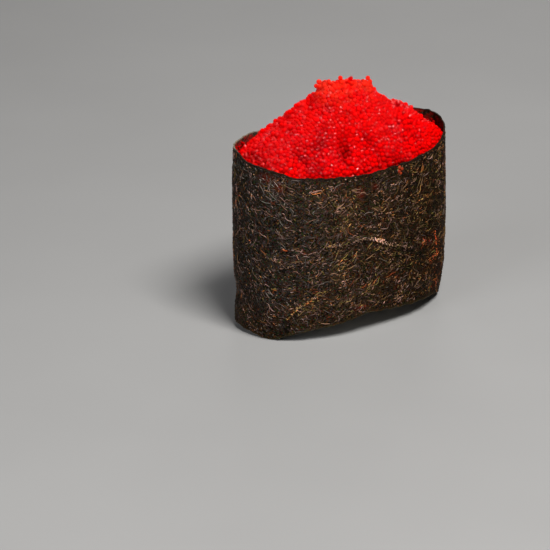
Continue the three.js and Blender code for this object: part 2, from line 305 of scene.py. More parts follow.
# Creases pressed in by hand: height, width, warmth of colour, and points along each of them, as
# distance from the front's middle and height in mm, and how worn it is there.
creases = [
    (0.24, 0.5, 0.35, [(-15.0, 21.2, 0.35), (-13.3, 21.3, 0.6), (-11.6, 20.9, 0.45), (-9.3, 21.0, 0.2),
        (-7.5, 20.9, 0.4), (-5.8, 21.2, 0.55), (-4.1, 21.2, 0.6), (-2.5, 20.6, 0.9), (-1.0, 19.9, 1.0),
        (0.6, 19.1, 0.85), (2.3, 18.1, 0.45), (4.0, 17.5, 0.5), (6.1, 16.7, 0.3), (8.9, 15.7, 0.35)]),
    (0.16, 0.6, 0.6, [(-21.6, 5.2, 0.35), (-21.1, 6.0, 0.45), (-20.4, 6.6, 0.55), (-19.0, 8.2, 0.52),
        (-16.9, 9.3, 0.45), (-14.7, 10.9, 0.36), (-12.6, 11.4, 0.2)]),
    (0.18, 0.5, 0.3, [(-23.3, 16.5, 0.35), (-19.0, 18.0, 0.2), (-14.0, 18.4, 0.15)]),
    (0.2, 0.6, 0.4, [(-26.2, 18.9, 0.2), (-23.2, 18.2, 0.4), (-21.4, 17.2, 0.2)]),
    (0.12, 0.4, 0.4, [(-25.5, 16.8, 0.35), (-24.4, 15.4, 0.3), (-23.6, 14.2, 0.15)]),
    (0.08, 0.4, 0.3, [(-4.5, 23.6, 0.5), (-1.7, 22.9, 0.3)]),
    (0.1, 0.8, 0.5, [(-7.7, 30.4, 0.2), (-8.2, 27.3, 0.35), (-9.5, 23.8, 0.3)]),
    (0.05, 0.4, 0.3, [(-3.3, 21.6, 0.3), (-1.5, 21.1, 0.4)]),
    (0.2, 0.8, 0.5, [(-11.5, 7.6, 0.2), (-8.0, 8.6, 0.3), (-2.6, 10.2, 0.2)]),
    (0.06, 0.4, 0.95, [(15.6, 17.6, 0.5), (16.3, 14.6, 0.6), (17.0, 11.6, 0.5)]),
    (0.06, 0.4, 0.8, [(14.3, 10.2, 0.3), (15.6, 11.6, 0.4), (17.6, 11.9, 0.4)]),
    (0.06, 0.4, 1.0, [(11.5, 14.8, 0.3), (12.0, 16.9, 0.5), (12.7, 15.6, 0.4)]),
    (0.06, 0.4, 0.95, [(17.6, 6.8, 0.2), (18.4, 3.4, 0.5)]),
]

# Spots where the sheet is rusty, stained or worn: along and up, reach along and up, strength.
spots = {
    "rust": [
        (12.0, 16.6, 0.9, 1.5, 1.0), (14.0, 14.5, 0.8, 2.0, 1.0), (17.2, 12.5, 1.1, 4.5, 1.0),
        (14.3, 10.8, 1.4, 1.2, 1.0), (12.0, 8.9, 1.2, 0.9, 1.0), (17.0, 5.0, 1.3, 2.4, 1.0),
        (19.5, 6.8, 1.0, 3.0, 1.0), (2.5, 10.5, 2.2, 1.2, 1.0),
    ],
    "stain": [
        (-25.3, 36.0, 1.6, 0.8, 1.0), (-22.8, 34.1, 1.0, 0.9, 1.0), (-5.5, 30.8, 0.9, 1.1, 1.0),
        (-1.7, 31.8, 0.8, 0.6, 1.0), (-5.4, 6.3, 1.3, 0.5, 1.0), (13.9, 15.8, 0.5, 0.9, 1.0),
    ],
    "worn": [
        (-11.2, 15.0, 1.5, 2.2, 1.0), (-24.0, 18.0, 2.2, 1.1, 0.7), (-8.9, 25.5, 1.8, 4.0, 0.6),
        (-17.5, 8.6, 3.6, 1.6, 0.7), (0.0, 19.0, 5.0, 1.4, 0.4), (11.0, 24.0, 2.4, 3.0, 0.6),
        (-6.0, 9.5, 4.0, 1.6, 0.4),
    ],
}


def ovalCurve(look, count=7200):
    turn = np.radians(look["lapEdge"]) - np.linspace(0, 2 * np.pi, count)
    c, s = np.cos(turn), np.sin(turn)
    power = 2 / look["ovalPower"]
    halfLength, halfWidth = look["ovalLength"] / 2, look["ovalWidth"] / 2
    x = halfLength * np.sign(c) * np.abs(c) ** power
    y = halfWidth * np.sign(s) * np.abs(s) ** power
    normal = np.stack([np.sign(c) * np.abs(c) ** (2 - power) / halfLength,
                       np.sign(s) * np.abs(s) ** (2 - power) / halfWidth], 1)
    normal /= np.linalg.norm(normal, axis=1)[:, None]
    steps = np.hypot(np.diff(x), np.diff(y))
    along = np.concatenate([[0], np.cumsum(steps)])
    return {"x": x, "y": y, "nx": normal[:, 0], "ny": normal[:, 1], "along": along, "girth": along[-1]}


def ovalAt(curve, along):
    inside = np.mod(along, curve["girth"])
    return [np.interp(inside, curve["along"], curve[name]) for name in ("x", "y", "nx", "ny")]


def frontMiddle(curve):  # distance along the oval at which the front's middle lies
    front = curve["y"] < 0
    nearest = np.argmin(np.where(front, np.abs(curve["x"]), farAway))
    return curve["along"][nearest]


def measureBand(curve, columns=300, rows=36):  # how far the solid band's face stands off the oval
    tree = surfaceOf(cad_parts["nori_band"].data)
    start, reach = 8 * mm, 11 * mm
    lowest, highest, step = 0.02 * mm, 44 * mm, 0.08 * mm
    along = np.linspace(0.5 * mm, curve["girth"] - 0.5 * mm, columns)
    x, y, nx, ny = ovalAt(curve, along)

    def standOff(column, height):
        away = Vector((nx[column], ny[column], 0))
        origin = Vector((x[column], y[column], height)) + away * start
        hit = tree.ray_cast(origin, -away, reach)
        return None if hit[0] is None else start - hit[3]

    foot = np.zeros(columns)
    rim = np.zeros(columns)
    offset = np.zeros((columns, rows))
    for column in range(columns):
        for edge, height, climb in ((foot, lowest, step), (rim, highest, -step)):
            while standOff(column, height) is None:
                height += climb
            edge[column] = height
        for row in range(rows):
            share = 0.01 + 0.98 * row / (rows - 1)
            found = standOff(column, foot[column] + share * (rim[column] - foot[column]))
            offset[column, row] = offset[column, row - 1] if found is None else found
    offset = blurBoth(offset, 2.6, 1.2)
    return {"along": along, "foot": blurAlong(foot, 0, 1.6), "rim": blurAlong(rim, 0, 1.6),
            "offset": offset}


def between(grid, column, row):  # reads a grid of values between its points
    left = np.floor(column).astype(int).clip(0, grid.shape[0] - 2)
    low = np.floor(row).astype(int).clip(0, grid.shape[1] - 2)
    u, v = column - left, row - low
    if grid.ndim == 3:
        u, v = u[..., None], v[..., None]
    return ((1 - u) * (1 - v) * grid[left, low] + u * (1 - v) * grid[left + 1, low]
            + (1 - u) * v * grid[left, low + 1] + u * v * grid[left + 1, low + 1])


def nearLine(along, up, line):  # distance to a line of points
    best = np.full(along.shape, farAway)
    for (a0, b0, *_), (a1, b1, *_) in zip(line, line[1:]):
        da, db = a1 - a0, b1 - b0
        share = np.clip(((along - a0) * da + (up - b0) * db) / (da * da + db * db), 0, 1)
        best = np.minimum(best, np.hypot(along - a0 - share * da, up - b0 - share * db))
    return best


def nearSpots(along, up, known):  # a spot's strength in its middle, 0 away from it
    total = np.zeros(along.shape)
    for a, b, reachA, reachB, strength in known:
        gap = ((along - a) / reachA) ** 2 + ((up - b) / reachB) ** 2
        total = np.maximum(total, np.exp(-gap) * strength)
    return total


class Sheet:  # the outer face of the wrap, by distance from the front's middle and height in mm
    def __init__(self, grid, length, girth, middle):
        self.grid, self.length, self.girth, self.middle = grid, length, girth, middle
        across = np.gradient(grid, axis=0)
        upward = np.gradient(grid, axis=1)
        normal = np.cross(across, upward)
        normal /= np.linalg.norm(normal, axis=2)[:, :, None]
        outward = (normal[:, :, :2] * grid[:, :, :2] * (1, 3)).sum(2).mean()
        self.normal = normal * np.sign(outward)

    def at(self, fromMiddle, up):
        column = np.mod(self.middle - fromMiddle * mm, self.girth) / self.length * (self.grid.shape[0] - 1)
        low = between(self.grid[:, :2, 2], column, np.zeros(column.shape))
        high = between(self.grid[:, -2:, 2], column, np.ones(column.shape))
        share = (up * mm - low) / (high - low)
        row = np.clip(share, 0, 1) * (self.grid.shape[1] - 1)
        return between(self.grid, column, row), between(self.normal, column, row), share


def makeWrap(look):
    curve = ovalCurve(look)
    band = measureBand(curve)
    middle = frontMiddle(curve)
    wrap = addPrimitive("noriWrap", bpy.ops.mesh.primitive_grid_add,
                        x_subdivisions=look["columns"], y_subdivisions=look["rows"], size=1)
    flat = pointsOf(wrap.data)
    length = curve["girth"] + look["overlap"]
    along = (flat[:, 0] + 0.5) * length
    share = flat[:, 1] + 0.5

    under = np.clip(along - curve["girth"], 0, None)  # how far a point is along the hidden end
    hidden = under > 0
    shown = np.where(hidden, under, np.minimum(along, curve["girth"]))
    fromMiddle = (middle - shown) / mm
    x, y, nx, ny = ovalAt(curve, shown)
    foot = np.interp(shown, band["along"], band["foot"])
    rim = np.interp(shown, band["along"], band["rim"])
    foot = np.maximum(foot + np.interp(fromMiddle, *np.transpose(footTrim)) * mm, 0.02 * mm)
    rim = rim + np.interp(fromMiddle, *np.transpose(rimTrim)) * mm
    column = np.interp(shown, band["along"], np.arange(len(band["along"])))
    row = share * (band["offset"].shape[1] - 1)
    offset = between(band["offset"], column, row)

    settle = smoothStep(under, 0, 4 * mm)
    sunk = offset - look["thickness"] - look["lapGap"]
    joined = between(band["offset"], np.full(column.shape, len(band["along"]) - 1.0), row)
    offset = np.where(hidden, np.minimum(sunk, (1 - settle) * joined + settle * sunk), offset)
    rim = rim - np.where(hidden, look["innerEndDrop"] * settle, 0)

    height = foot + share * (rim - foot)
    base = np.stack([x, y, height], 1)
    nibble = look["edgeNibbles"] * (cloudAt(base, 1.3 * mm, 3.0) + 0.6 * cloudAt(base, 0.5 * mm, 9.0))
    nearEdge = np.exp(-(1 - share) * 25) - np.exp(-share * 25) * (foot > 0.3 * mm)
    height = height + nibble * nearEdge

    up = height / mm
    relief = look["riceDents"] * cloudAt(base, look["dentSize"], 1.0)
    pushes = [cloudAt(base, look["warpSize"], shift) for shift in (5.0, 6.0, 7.0)]
    warped = base + np.stack(pushes, 1) * look["warpReach"]
    ridges = 1 - np.abs(cloudAt(warped, look["wrinkleSize"], 2.0)) * 2.2
    relief += look["wrinkles"] * np.clip(ridges, 0, 1) ** 3 * (0.6 + 0.8 * cloudAt(base, 6 * mm, 8.0))
    relief += look["fineRelief"] * cloudAt(warped, look["fineSize"], 4.0)
    waver = 0.35 * cloudAt(base, 1.6 * mm, 12.0)
    for ridge, width, _, line in creases:
        gap = nearLine(fromMiddle, up + waver, line)
        relief += ridge * mm * np.exp(-(gap / width) ** 2) * (~hidden)
    offset = offset + relief
    points = np.stack([x + nx * offset, y + ny * offset, height], 1)
    setPoints(wrap.data, points)

    columns = np.rint((flat[:, 0] + 0.5) * look["columns"]).astype(int)
    rows = np.rint(share * look["rows"]).astype(int)
    grid = np.zeros((look["columns"] + 1, look["rows"] + 1, 3))
    grid[columns, rows] = points
    sheet = Sheet(grid, length, curve["girth"], middle)

    masks = {
        **{name: nearSpots(fromMiddle, up, known) * (~hidden) for name, known in spots.items()},
        # The next mask is painted shade: the sheet darker and warmer towards its right end.
        "dim": smoothStep(fromMiddle, -20, 14) * (fromMiddle < 30),
        "cool": smoothStep(-fromMiddle, 8, 24) * smoothStep(up, 2, 14),
        # Painted highlights along the rim and the lower edge, the rim brightest at the back-left.
        "rimEdge": np.exp(-(1 - share) * (rim - foot) / look["rimEdge"]),
        "rimLight": smoothStep(-fromMiddle, 34, 39) * smoothStep(fromMiddle, -60, -56),
        "footEdge": np.exp(-share * (rim - foot) / look["footEdge"]),
    }
    for name, mask in masks.items():
        paintPoints(wrap.data, name, mask)

    inEditMode(wrap, bpy.ops.mesh.normals_make_consistent, inside=False)
    facesOutward(wrap)
    shell = wrap.modifiers.new("sheet", "SOLIDIFY")
    shell.thickness = look["thickness"]
    shell.offset = -1
    shell.use_even_offset = True
    bpy.ops.object.modifier_apply(modifier="sheet")
    soilAndLightPoints = pointsOf(wrap.data)
    within = (np.arange(len(soilAndLightPoints)) >= len(points)) & (soilAndLightPoints[:, 2] > look["soilAndLightFrom"])
    # The roe's red film on the inside, made lighter as painted light where the inside lies in shade.
    soil = np.clip(cloudAt(soilAndLightPoints, look["soilAndLightSize"], 21.0) * 2.2 + 0.6, 0, 1)
    paintPoints(wrap.data, "soil", np.where(within, soil, 0))
    bpy.ops.object.shade_smooth_by_angle(angle=math.radians(look["smoothUnder"]))
    print("nori wrap:", len(wrap.data.polygons), "faces")
    return wrap, sheet


def facesOutward(piece):  # turns an open sheet over if it faces its own inside
    flips = 0
    for face in list(piece.data.polygons)[::97]:
        flat = Vector((face.center.x, face.center.y * 3, 0))
        flips += 1 if face.normal.dot(flat) < 0 else -1
    if flips > 0:
        inEditMode(piece, bpy.ops.mesh.flip_normals)


def noriMaterial():
    r = Recipe("nori")
    place = r.objectPlace()
    bent = r.warp(place, 1.6 * mm, 0.8 * mm)
    broad = r.cloud(place, 7 * mm, 2.0)
    colour = r.mix(broad.within(0.35, 0.65), (0.0017, 0.0014, 0.0008), (0.0022, 0.0013, 0.0005))
    grit = r.cloud(place, 0.28 * mm, 2.0, 0.7)
    layers = (
        (1.9 * mm, 0.051, 9.0, (0.026, 0.018, 0.011)), (1.5 * mm, 0.011, 7.0, (0.034, 0.018, 0.008)),
        (1.1 * mm, 0.023, 6.0, (0.046, 0.031, 0.022)), (0.8 * mm, 0.037, 4.6, (0.060, 0.032, 0.014)),
        (1.2 * mm, 0.067, 6.5, (0.020, 0.017, 0.006)), (0.6 * mm, 0.083, 3.8, (0.090, 0.060, 0.040)),
    )
    height = 0.0
    for size, shift, width, tint in layers:
        cloud = r.cloud(r.moved(bent, (shift, shift * 2, -shift)), size, 1.0, 0.4)
        line = (1 - abs(cloud * 2 - 1) * width).within(0.05, 0.75)
        gaps = r.cloud(r.moved(place, (-shift, shift, shift * 3)), size * 1.3, 1.0).within(0.44, 0.58)
        line = line * gaps
        colour = r.mix(line * (0.05 + grit * 0.9).orLess(1.0) * 0.6, colour, tint)
        height = line + height
    specks = (
        (0.42 * mm, 0.091, (0.080, 0.012, 0.006)), (0.38 * mm, 0.013, (0.017, 0.036, 0.007)),
        (0.34 * mm, 0.047, (0.060, 0.046, 0.046)), (0.48 * mm, 0.029, (0.066, 0.028, 0.005)),
    )
    for size, shift, tint in specks:
        cloud = r.cloud(r.moved(place, (shift, -shift, shift * 2)), size, 1.0, 0.6)
        colour = r.mix(cloud.within(0.57, 0.70) * 0.9, colour, tint)
    marks = (
        ("worn", (0.35, 0.7), 0.5, (0.10, 0.060, 0.033)),
        ("rust", (0.42, 0.62), 0.4, (0.12, 0.026, 0.005)),
        ("stain", (0.25, 0.55), 0.9, (0.11, 0.011, 0.004)),
        # The soil mark is the roe's red film, also painted lighter as painted light on the shaded inside.
        ("soil", (0.32, 0.58), 0.9, (0.45, 0.011, 0.009)),
    )
    for name, grain, strength, tint in marks:
        colour = r.mix(r.attribute(name) * grit.within(*grain) * strength, colour, tint)
    colour = r.tinted(r.attribute("cool"), colour, (0.84, 0.98, 1.18))
    # Painted shade: darker and warmer towards the right end.
    colour = r.tinted(r.attribute("dim"), colour, (0.50, 0.46, 0.34))
    # Painted highlight along the rim's edge, brightest at the back-left.
    rimLight = r.attribute("rimLight") * grit.within(0.25, 0.6)
    edge = r.mix(rimLight, (0.016, 0.011, 0.007), (0.27, 0.23, 0.17))
    colour = r.mix(r.attribute("rimEdge") * 0.85, colour, edge)
    # Painted glow along the lower edge, as of light through the thin sheet.
    colour = r.mix(r.attribute("footEdge") * 0.6, colour, (0.060, 0.042, 0.018))
    normal = r.bump(height * 0.7 + grit * 0.6, 0.10 * mm, 0.9)
    return r.finish(colour, 0.66 - grit * 0.22, normal, {"IOR": 1.2, "Specular IOR Level": 0.1})


# What stands out on the sheet's outer face: curved fibres, and short flecks between them.
fibreLooks = [
    {
        "name": "noriFibres",
        "seed": 23,
        "count": 6500,
        "length": (0.6, 3.3),     # in mm, as the rest of these
        "width": (0.11, 0.23),
        "stand": 0.07,
        "bend": 1.8,              # radians over a fibre's length
        "steps": 4,
        "light": (0.20, 2.10),
        "anyHue": 0.12,           # share whose colour takes no notice of its neighbours
        "alongCrease": 8,         # pieces to each mm of a fully worn crease
    },
    {
        "name": "noriFlecks",
        "seed": 29,
        "count": 9500,
        "length": (0.28, 1.15),
        "width": (0.15, 0.32),
        "stand": 0.06,
        "bend": 1.0,
        "steps": 2,
        "light": (0.16, 2.30),
        "anyHue": 0.35,
        "alongCrease": 22,
    },
]


# How light and how warm in colour the fibres and flecks are.
fibreTone = {
    "evenLight": 0.88,
    "patches": ((1.35, 3.0 * mm, 31.0), (0.8, 1.3 * mm, 37.0)),   # strength, size and shift of the noise
    "patchLimits": (0.1, 2.7),
    "warmth": (0.40, 0.16),   # mean and spread
    "coolLeft": 0.25,
    "warmRight": 0.12,
    "huePatches": 0.28,
    "huePatchSize": 5.0 * mm,
    # painted shade towards the right end
    "paintedShadeRight": 0.28,
    "lightTop": 0.25,
    "wornLight": 0.9,
    "wornWarmth": 0.25,
    "rusty": 0.7,             # share that is rusty in a rust spot
    "rustyElsewhere": 0.025,
}


def flowAt(fromMiddle, up):  # the direction in which the fibres tend to lie
    left = smoothStep(-fromMiddle, 16, 34)
    return (1 - left) * 0.35 * np.sin(up * 0.21 + fromMiddle * 0.13) - left * 1.25


def creaseFibres(look, rng):  # place, turn, length, light and warmth of the pieces along the creases
    found = []
    for _, _, warm, line in creases:
        for (a0, b0, w0), (a1, b1, w1) in zip(line, line[1:]):
            span = math.hypot(a1 - a0, b1 - b0)
            density = look["alongCrease"] * (w0 + w1) / 2
            for share in rng.random(int(span * density * 0.5 + 0.5)):
                worn = w0 + share * (w1 - w0)
                along = a0 + share * (a1 - a0) + rng.normal(0, 0.11)
                up = b0 + share * (b1 - b0) + rng.normal(0, 0.13)
                turn = math.atan2(b1 - b0, a1 - a0) + rng.normal(0, 0.4)
                light = (0.9 + 6.0 * worn ** 2) * rng.uniform(0.15, 1.4)
                hue = min(1.0, max(0.0, warm + rng.normal(0, 0.14)))
                found.append((along, up, turn, rng.uniform(0.22, 0.6), light, hue))
    return np.transpose(found)


def fibreTones(look, tone, along, up, rng):  # light and warmth of the pieces, by their place
    count = len(along)
    light = look["light"][0] + look["light"][1] * rng.random(count) ** 2.0
    plan = np.stack([along, up, np.zeros(count)], 1) * mm
    patches = tone["evenLight"]
    for strength, size, shift in tone["patches"]:
        patches = patches + strength * cloudAt(plan, size, shift)
    light = light * np.clip(patches, *tone["patchLimits"])
    cooler = tone["coolLeft"] * smoothStep(-along, 8, 22)
    warm = rng.normal(*tone["warmth"], count) - cooler + tone["warmRight"] * smoothStep(along, 4, 14)
    warm = np.clip(warm + tone["huePatches"] * cloudAt(plan, tone["huePatchSize"], 43.0), 0, 0.82)
    warm = np.where(rng.random(count) < look["anyHue"], rng.uniform(0, 0.95, count), warm)
    worn = nearSpots(along, up, spots["worn"])
    # Painted shade: the pieces are darker towards the right end; they are also lighter towards the top.
    shadeRightLiftTop = 0.96 - tone["paintedShadeRight"] * smoothStep(along, 2, 14) + tone["lightTop"] * smoothStep(up, 25, 31)
    light = light * (0.85 + tone["wornLight"] * worn) * shadeRightLiftTop
    warm = np.clip(warm + tone["wornWarmth"] * worn, 0, 0.8)
    rusty = rng.random(count) < tone["rusty"] * nearSpots(along, up, spots["rust"]) + tone["rustyElsewhere"]
    return light, np.where(rusty, rng.uniform(0.82, 1.0, count), warm)


def makeFibres(look, sheet):
    rng = np.random.default_rng(look["seed"])
    count, steps = look["count"], look["steps"]
    half = sheet.girth / mm / 2
    a = rng.uniform(-half, half, count)
    b = rng.uniform(0.5, 39.5, count)
    turn = flowAt(a, b) + rng.normal(0, 0.75, count)
    length = look["length"][0] + (look["length"][1] - look["length"][0]) * rng.random(count) ** 2.0
    light, warm = fibreTones(look, fibreTone, a, b, rng)

    joined = zip((a, b, turn, length, light, warm), creaseFibres(look, rng))
    a, b, turn, length, light, warm = (np.concatenate(pair) for pair in joined)
    count = len(a)
    bulk = np.where(np.arange(count) < look["count"], 1, 1.1)
    bend = rng.normal(0, look["bend"] / 2, count)
    wave = rng.normal(0, 0.5, count)
    ways = np.linspace(-0.5, 0.5, steps + 1)
    heading = turn[:, None] + bend[:, None] * ways + wave[:, None] * np.sin(ways * 6)
    step = (length / steps)[:, None]
    pathA = a[:, None] + np.cumsum(np.cos(heading) * step, 1)
    pathB = b[:, None] + np.cumsum(np.sin(heading) * step, 1)
    middles, normals, share = sheet.at(pathA.ravel(), pathB.ravel())
    share = share.reshape(count, -1)
    kept = (share.min(1) > 0.006) & (share.max(1) < 0.994)
    middles = middles.reshape(count, -1, 3)[kept]
    normals = normals.reshape(count, -1, 3)[kept]
    light, warm = light[kept], warm[kept]
    count = len(middles)

    tangents = np.gradient(middles, axis=1)
    aside = np.cross(normals, tangents)
    aside /= np.linalg.norm(aside, axis=2)[:, :, None]
    taper = (0.25 + 0.75 * np.cos(ways * np.pi) ** 0.6)[None, :, None]
    width = (rng.uniform(*look["width"], count) * bulk[kept])[:, None, None] * mm * taper
    stand = look["stand"] * mm * taper * (width / width.mean())
    sunk = middles - normals * 0.03 * mm
    rings = np.stack([sunk - aside * width / 2, sunk + aside * width / 2, middles + normals * stand], 2)
    faces = []
    for k in range(steps):
        l0, r0, t0, l1, r1, t1 = (3 * k + n for n in range(6))
        faces += [(l0, r0, r1), (l0, r1, l1), (r0, t0, t1), (r0, t1, r1), (l0, l1, t1), (l0, t1, t0)]
    faces += [(0, 2, 1), (3 * steps, 3 * steps + 1, 3 * steps + 2)]
    piece = joinCopies(look["name"], rings, np.array(faces), count)
    each = 3 * (steps + 1)
    paintPoints(piece.data, "light", np.repeat(light, each))
    paintPoints(piece.data, "warm", np.repeat(warm, each))
    print(look["name"] + ":", count, "of them,", len(piece.data.polygons), "faces")
    return piece


def fibreMaterial():
    r = Recipe("noriFibre")
    stops = [(0.0, (0.078, 0.074, 0.062)), (0.15, (0.120, 0.080, 0.070)), (0.3, (0.170, 0.090, 0.070)),
             (0.45, (0.160, 0.088, 0.042)), (0.6, (0.100, 0.080, 0.020)), (0.75, (0.190, 0.075, 0.022)),
             (0.9, (0.230, 0.058, 0.014)), (1.0, (0.260, 0.035, 0.010))]
    colour = r.ramp(r.attribute("warm"), stops)
    grit = r.cloud(r.objectPlace(), 0.22 * mm, 1.0)
    strength = r.attribute("light") * (0.45 + grit * 1.1)
    colour = r.vector("SCALE", {0: colour, "Scale": strength})
    normal = r.bump(grit, 0.03 * mm, 0.6)
    return r.finish(colour, 0.60 - grit * 0.2, normal, {"IOR": 1.25, "Specular IOR Level": 0.3})


roeLook = {
    "egg": 1.10 * mm,         # diameter of one egg
    "spacing": 0.92 * mm,
    "fill": 1.04,             # share of the closest packing
    "bedding": 0.56 * mm,     # how much lower the second layer lies
    "sink": 0.54 * mm,        # depth of the eggs' middles under the heap's surface
    "raisedShare": 0.13,
    "raise": 0.30 * mm,
    "clumpSize": 2.3 * mm,
    "clumpHeight": 0.30 * mm,
    "rounds": 12,
    "loose": 0.88,            # size of the loose eggs on the crest against the rest
    "wallLevel": 34 * mm,     # height at which the wrap's inside is first measured
    "floor": 30 * mm,         # lower than any of the heap's top or the rim
    "margin": 0.42 * mm,      # from the wall to the eggs' middles
    "jitter": 0.10,
    "beddingSpacing": 1.1,
    "beddingMargin": 0.46 * mm,
    "beddingRounds": 14,
    "beddingSize": 1.05,
    "beddingJitter": 0.06,
    "gelUnder": 0.62 * mm,    # how far the gel lies under the eggs' middles
    "gelEdge": 0.5 * mm,
}
hexagonal = 0.866             # a cell's area in a hexagonal packing, against its spacing squared

# Hollows and lumps of the heap: from x, y to x, y, reach and depth in mm, and how much painted shade it
# lays on the eggs; a negative value is painted light.
# A lump's depth is negative.
hollows = [
    (-6.6, -10.0, -7.4, -11.2, 1.5, 0.5, 0.44), (-16.0, -6.2, -15.2, -7.4, 1.2, 0.45, 0.42),
    (-15.1, -10.3, -13.2, -10.8, 1.4, 0.4, 0.5), (-7.6, -4.2, -6.3, -4.4, 1.1, 0.35, 0.34),
    (-9.3, -6.8, -11.4, -7.6, 1.3, 0.35, 0.48), (-1.1, -9.5, 0.6, -12.0, 0.9, 0.6, 0.36),
    (5.5, -9.4, 7.4, -10.3, 1.2, 0.4, 0.15), (-23.0, -4.0, -22.2, 2.5, 2.1, 0.6, 0.5),
    (18.8, 6.0, 23.2, -0.6, 2.0, 1.6, 0.25), (21.0, -3.2, 22.8, 0.8, 1.8, 3.6, 0.3),
    (-8.0, -0.8, -3.9, 4.8, 1.3, 2.2, -0.1), (-9.8, -3.6, -8.2, -1.2, 1.9, 0.75, 0.0),
    (0.2, -0.4, 5.0, -1.0, 2.2, 0.98, 0.0), (8.8, -2.0, 21.0, -1.6, 1.6, 0.85, 0.0),
    (-3.4, 0.6, -2.8, 1.2, 1.0, -0.25, 0.0), (5.4, -2.2, 6.4, -1.4, 0.9, -0.55, 0.0),
    (-20.5, 1.0, -16.5, 3.5, 2.2, 0.5, 0.0), (-10.2, 0.5, -10.0, 3.5, 0.6, 0.4, 0.0),
    (-4.6, -0.5, -4.4, 2.8, 0.8, -0.35, 0.0), (-12.8, 0.0, -12.2, 3.2, 0.9, 0.35, 0.0),
    (13.5, -1.5, 13.8, 2.5, 1.0, -0.35, 0.0), (6.0, -5.0, 7.6, -2.0, 1.1, 0.55, 0.0),
]

# Loose eggs piled on the crest: place in mm, and how many lie one on another.
knobs = [
    (-4.5, 1.1, 2), (-3.4, -0.4, 1), (-0.6, -1.0, 2), (1.9, -1.3, 2), (3.8, -2.9, 1), (5.6, -2.2, 2),
    (-8.9, 1.4, 1), (-10.9, 1.6, 1), (-13.6, 1.0, 1), (-16.2, 0.4, 1), (10.2, -2.2, 2), (13.7, -2.2, 2),
    (16.8, -2.0, 1), (19.6, -1.8, 2),
]


def filledOut(heights):  # each unknown cell takes the mean of its known neighbours
    while np.isnan(heights).any():
        known = ~np.isnan(heights)
        value = np.pad(np.where(known, heights, 0), 1)
        weight = np.pad(known.astype(float), 1)
        total, count = np.zeros(heights.shape), np.zeros(heights.shape)
        for i in range(3):
            for j in range(3):
                total += value[i:i + heights.shape[0], j:j + heights.shape[1]]
                count += weight[i:i + heights.shape[0], j:j + heights.shape[1]]
        grown = total / np.maximum(count, tiny)
        heights = np.where(known, heights, np.where(count > 0, grown, np.nan))
    return heights


class HeapField:  # the heap's height over the plan, read from its solid and smoothed
    def __init__(self, floor, pitch=0.3 * mm, blur=0.6 * mm, border=3 * mm):
        tree = surfaceOf(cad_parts["roe_heap"].data)
        low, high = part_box("roe_heap")
        self.pitch = pitch
        self.origin = np.array([low.x - border, low.y - border])
        self.size = tuple(int((high[k] - low[k] + 2 * border) / pitch) for k in (0, 1))
        heights = np.full(self.size, np.nan)
        down = Vector((0, 0, -1))
        for i in range(self.size[0]):
            for j in range(self.size[1]):
                start = Vector((self.origin[0] + i * pitch, self.origin[1] + j * pitch, 0.1))
                hit = tree.ray_cast(start, down)[0]
                if hit is not None and hit.z > floor:
                    heights[i, j] = hit.z
        sigma = blur / pitch
        self.heights = blurBoth(filledOut(heights), sigma, sigma)

    def plan(self):
        xs = self.origin[0] + np.arange(self.size[0]) * self.pitch
        ys = self.origin[1] + np.arange(self.size[1]) * self.pitch
        return np.meshgrid(xs, ys, indexing="ij")

    def read(self, grid, x, y):
        column = np.clip((x - self.origin[0]) / self.pitch, 0, self.size[0] - 1.001)
        row = np.clip((y - self.origin[1]) / self.pitch, 0, self.size[1] - 1.001)
        return between(grid, column, row)

    def topAt(self, x, y):
        return self.read(self.heights, x, y)

    def slopes(self):
        return np.gradient(self.heights, self.pitch)

    def normals(self, x, y):
        gx, gy = self.slopes()
        normal = np.stack([-self.read(gx, x, y), -self.read(gy, x, y), np.ones(len(x))], 1)
        return normal / np.linalg.norm(normal, axis=1)[:, None]


def innerReach(wrap, field, level, steps=720):  # how far the wrap's inside is from the axis
    tree = surfaceOf(wrap.data)
    turns = np.linspace(-np.pi, np.pi, steps, endpoint=False)
    reach = np.zeros(steps)
    for k, turn in enumerate(turns):
        reach[k] = wallAt(tree, turn, level)
        away = Vector((math.cos(turn), math.sin(turn)))
        top = field.topAt(np.array([away.x * reach[k]]), np.array([away.y * reach[k]]))[0]
        atTop = wallAt(tree, turn, top - 0.4 * mm)
        if atTop is not None and abs(atTop - reach[k]) < 1.5 * mm:
            reach[k] = atTop
    return turns, blurAlong(reach, 0, 1.5, wraps=True)


def wallAt(tree, turn, height):  # how far a wall is from the axis, in one direction
    return tree.ray_cast(Vector((0, 0, height)), Vector((math.cos(turn), math.sin(turn), 0)))[3]


def atTurn(x, y, known):  # reads values that are known by the angle round the axis
    return np.interp(np.arctan2(y, x), *known, period=2 * np.pi)


def keepInside(x, y, limit, margin):
    scale = np.minimum(1, (atTurn(x, y, limit) - margin) / np.maximum(np.hypot(x, y), tiny))
    return x * scale, y * scale


